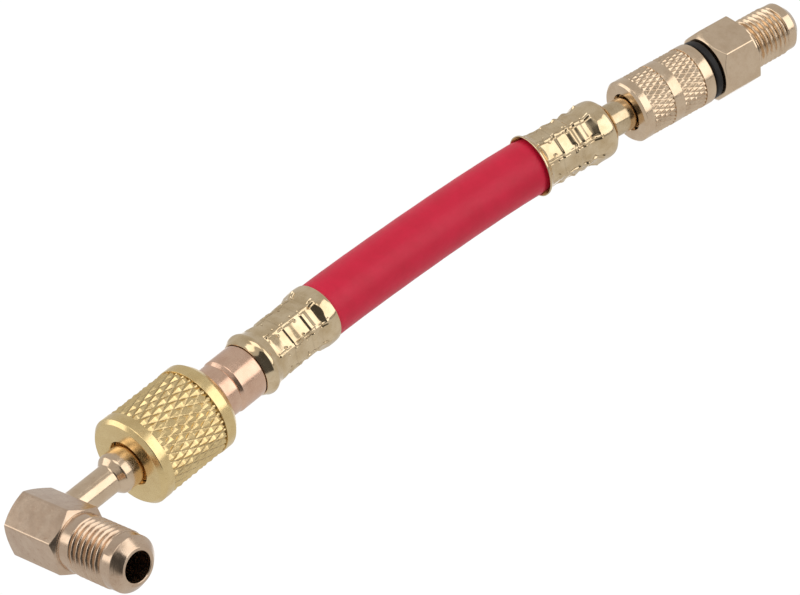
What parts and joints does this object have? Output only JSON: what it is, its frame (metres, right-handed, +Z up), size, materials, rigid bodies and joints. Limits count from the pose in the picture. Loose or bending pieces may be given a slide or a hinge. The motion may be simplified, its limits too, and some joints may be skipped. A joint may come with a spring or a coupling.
{
  "type": "refrigerant adapter",
  "caption": "Short refrigerant hose adapter: an angled male flare on a knurled swivel nut, a crimped rubber hose, a knurled coupler sleeve and a hexagonal male flare outlet.",
  "frame": {"origin": "middle of the footprint, on the surface the part lies on", "axes": "+X from the elbow to the outlet, along the hose; the elbow's flare points to -Y; +Z up"},
  "size_m": [0.2068, 0.0346, 0.0185],
  "materials": {
    "rose_brass": "turned brass, rose tint, bright",
    "yellow_brass": "turned yellow brass, knurled",
    "copper_brass": "turned copper-rich brass",
    "ferrule_brass": "polished pale brass, crimped",
    "red_rubber": "crimson, satin",
    "black_rubber": "black, dull"
  },
  "bodies": {
    "hose_assembly": {"hose": "red_rubber", "ferrule_nut_end": "ferrule_brass", "ferrule_outlet_end": "ferrule_brass", "hose_end_fitting": "copper_brass", "outlet_stem": "ferrule_brass"},
    "elbow": {"elbow_body": "rose_brass", "elbow_stem": "rose_brass"},
    "nut": {"flare_nut": "yellow_brass"},
    "sleeve": {"coupler_sleeve": "rose_brass"},
    "outlet": {"outlet_adapter": "rose_brass", "gasket": "black_rubber"}
  },
  "joints": [
    {"name": "elbow_swivel", "type": "hinge", "parent": "hose_assembly", "child": "elbow", "pos_m": [-0.08736, 0.00809, 0.00925], "axis": [1, 0, 0], "continuous": true},
    {"name": "nut_spin", "type": "hinge", "parent": "hose_assembly", "child": "nut", "pos_m": [-0.06736, 0.00809, 0.00925], "axis": [1, 0, 0], "continuous": true},
    {"name": "sleeve_spin", "type": "hinge", "parent": "hose_assembly", "child": "sleeve", "pos_m": [0.07058, -0.00492, 0.00832], "axis": [0.9727, -0.2323, 0], "continuous": true},
    {"name": "outlet_screw", "type": "hinge", "parent": "sleeve", "child": "outlet", "pos_m": [0.08031, -0.00724, 0.00832], "axis": [0.9727, -0.2323, 0], "continuous": true}
  ]
}
